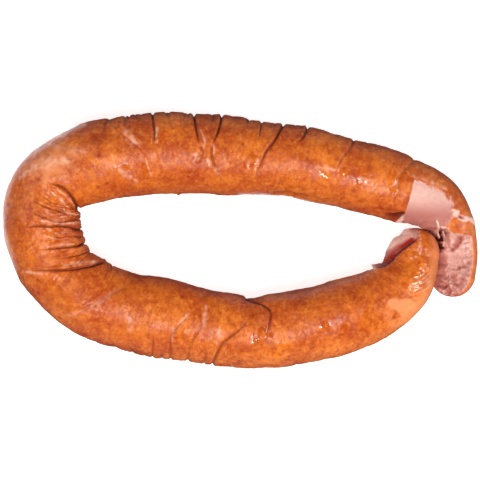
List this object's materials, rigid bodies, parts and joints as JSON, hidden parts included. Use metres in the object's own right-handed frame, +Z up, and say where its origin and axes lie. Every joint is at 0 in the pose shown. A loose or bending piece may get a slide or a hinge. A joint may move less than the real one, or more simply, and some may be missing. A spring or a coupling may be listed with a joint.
{
  "type": "ring sausage",
  "caption": "Smoked ring sausage bent into an open oval, with one end broken open to show the pink meat and the other end torn at its tip, lying flat as food.",
  "frame": {"origin": "on the surface it lies on, under the middle of the ring's overall box", "axes": "+X along the ring's length, towards the two ends; +Y across the ring, towards the arm whose end is broken open; +Z up"},
  "size_m": [0.2507, 0.1351, 0.0419],
  "materials": {
    "casing": "glossy smoked casing, orange brown; its meat shows pale pink where it is torn"
  },
  "bodies": {
    "root": {"sausage": "casing"}
  },
  "joints": []
}
